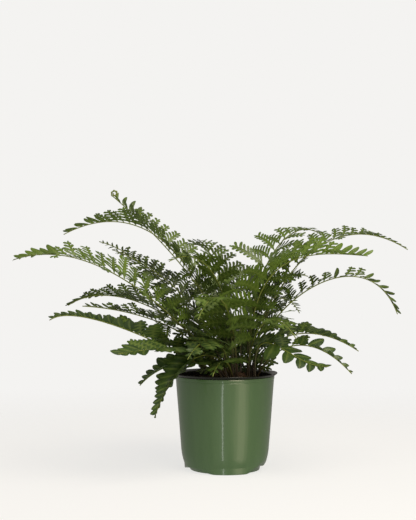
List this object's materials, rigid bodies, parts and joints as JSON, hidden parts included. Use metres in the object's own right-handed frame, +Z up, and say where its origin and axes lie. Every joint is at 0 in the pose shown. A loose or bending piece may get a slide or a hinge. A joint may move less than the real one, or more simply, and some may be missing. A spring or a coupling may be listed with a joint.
{
  "type": "potted asplenium fern",
  "caption": "Spleenwort fern with arching, finely cut fronds, one young tip still coiled, in a black nursery pot nested in a plain tapered green pot.",
  "frame": {"origin": "middle of the pot's flat base", "axes": "+Z up along the pot's axis, +X to the right and -Y to the front of the plant as it is seen"},
  "size_m": [0.6088, 0.4294, 0.4295],
  "materials": {
    "green_plastic": "satin moulded polypropylene",
    "black_plastic": "glossy moulded rim",
    "potting_mix": "loose damp bark and peat",
    "rootstock": "rough, scaly",
    "frond": "waxy leaf, satin gloss"
  },
  "bodies": {
    "root": {"pot": "green_plastic", "inner_pot": "black_plastic", "soil": "potting_mix", "rhizome": "rootstock", "frond_crozier": "frond", "frond_top_left": "frond", "frond_long_left": "frond", "frond_back_left": "frond", "frond_mid_left": "frond", "frond_rear_left": "frond", "frond_low_left": "frond", "frond_fan_left": "frond", "frond_curled_left": "frond", "frond_short_left": "frond", "frond_broad_left": "frond", "frond_drooping_left": "frond", "frond_top_right": "frond", "frond_bright_right": "frond", "frond_arching_right": "frond", "frond_low_right": "frond", "frond_lower_right": "frond", "frond_short_right": "frond", "frond_upper_right": "frond", "frond_inner_right": "frond", "frond_side_right": "frond", "frond_front_left": "frond", "frond_front_right": "frond", "frond_front_low": "frond", "frond_front_high": "frond", "frond_front_fan": "frond", "frond_back": "frond", "frond_back_low_left": "frond", "frond_back_high": "frond", "frond_back_right": "frond", "frond_back_low": "frond"}
  },
  "joints": []
}
